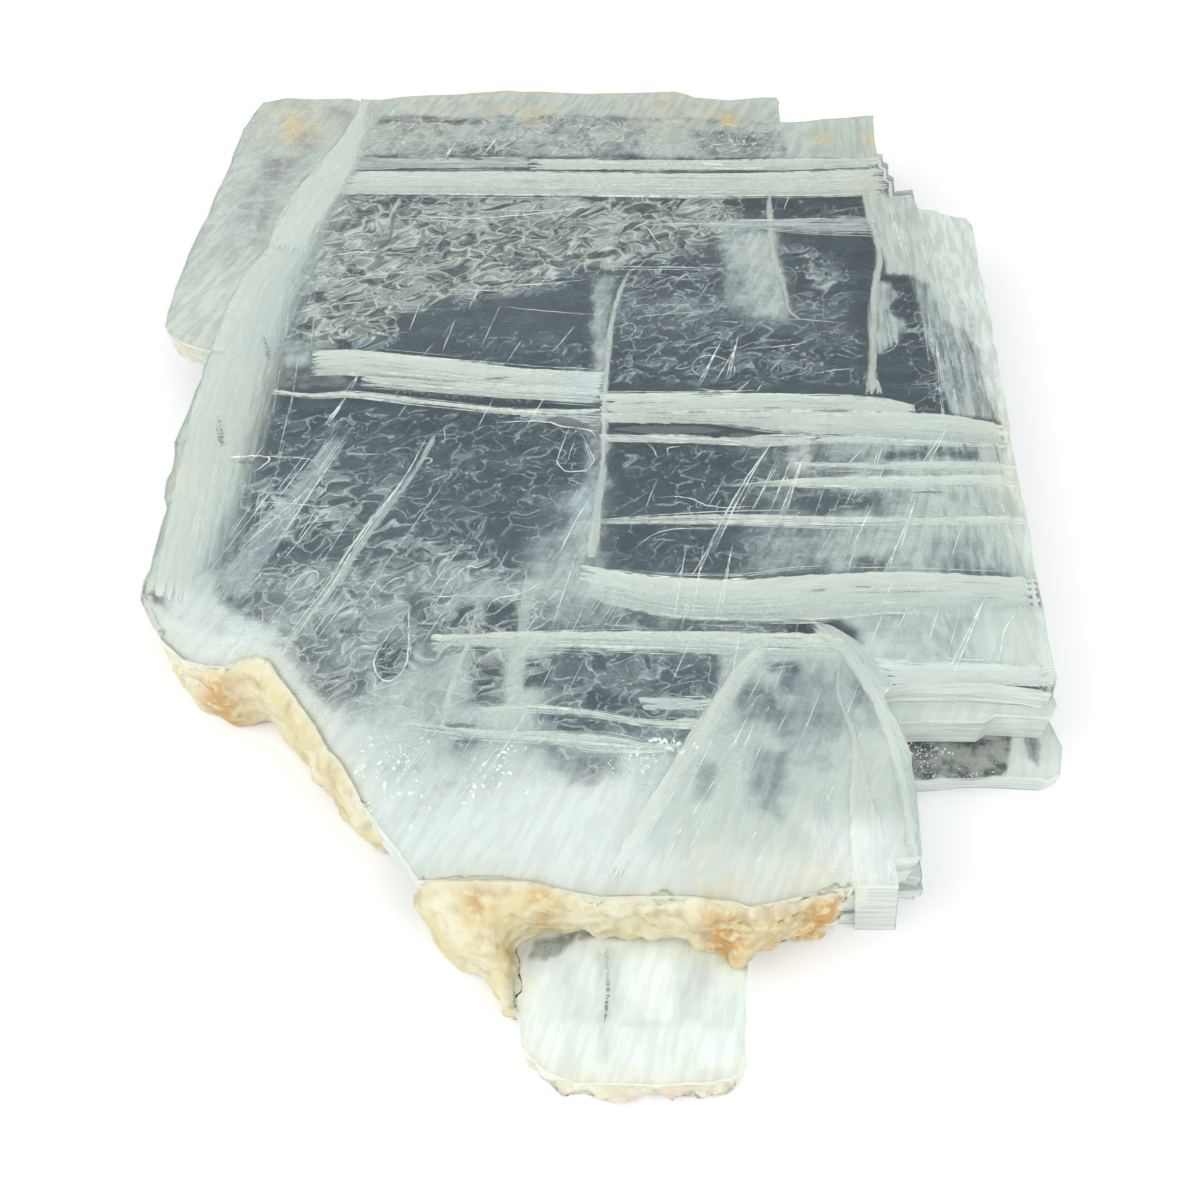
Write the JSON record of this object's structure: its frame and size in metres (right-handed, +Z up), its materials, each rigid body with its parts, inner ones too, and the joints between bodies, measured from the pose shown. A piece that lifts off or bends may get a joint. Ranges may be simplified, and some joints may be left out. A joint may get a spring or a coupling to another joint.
{
  "type": "selenite slab",
  "caption": "Stepped plate of clear selenite (cleaved gypsum) with lumpy cream matrix crusts on its broken edges, lying flat.",
  "frame": {"origin": "centre of the bounding box in plan, at the level of the flat underside", "axes": "+X to the right, +Y from the narrow tab end towards the wide end, +Z up out of the slab's top cleavage face"},
  "size_m": [0.336, 0.4558, 0.034],
  "materials": {
    "selenite": "clear to milky cleavage plate, glassy and pearly",
    "crust": "dull, earthy, cream to ochre mineral crust",
    "tip_crust": "dull, earthy, pinkish cream mineral crust"
  },
  "bodies": {
    "root": {"selenite_slab": "selenite", "left_crust": "crust", "front_crust": "crust", "tip_crust": "tip_crust"}
  },
  "joints": []
}
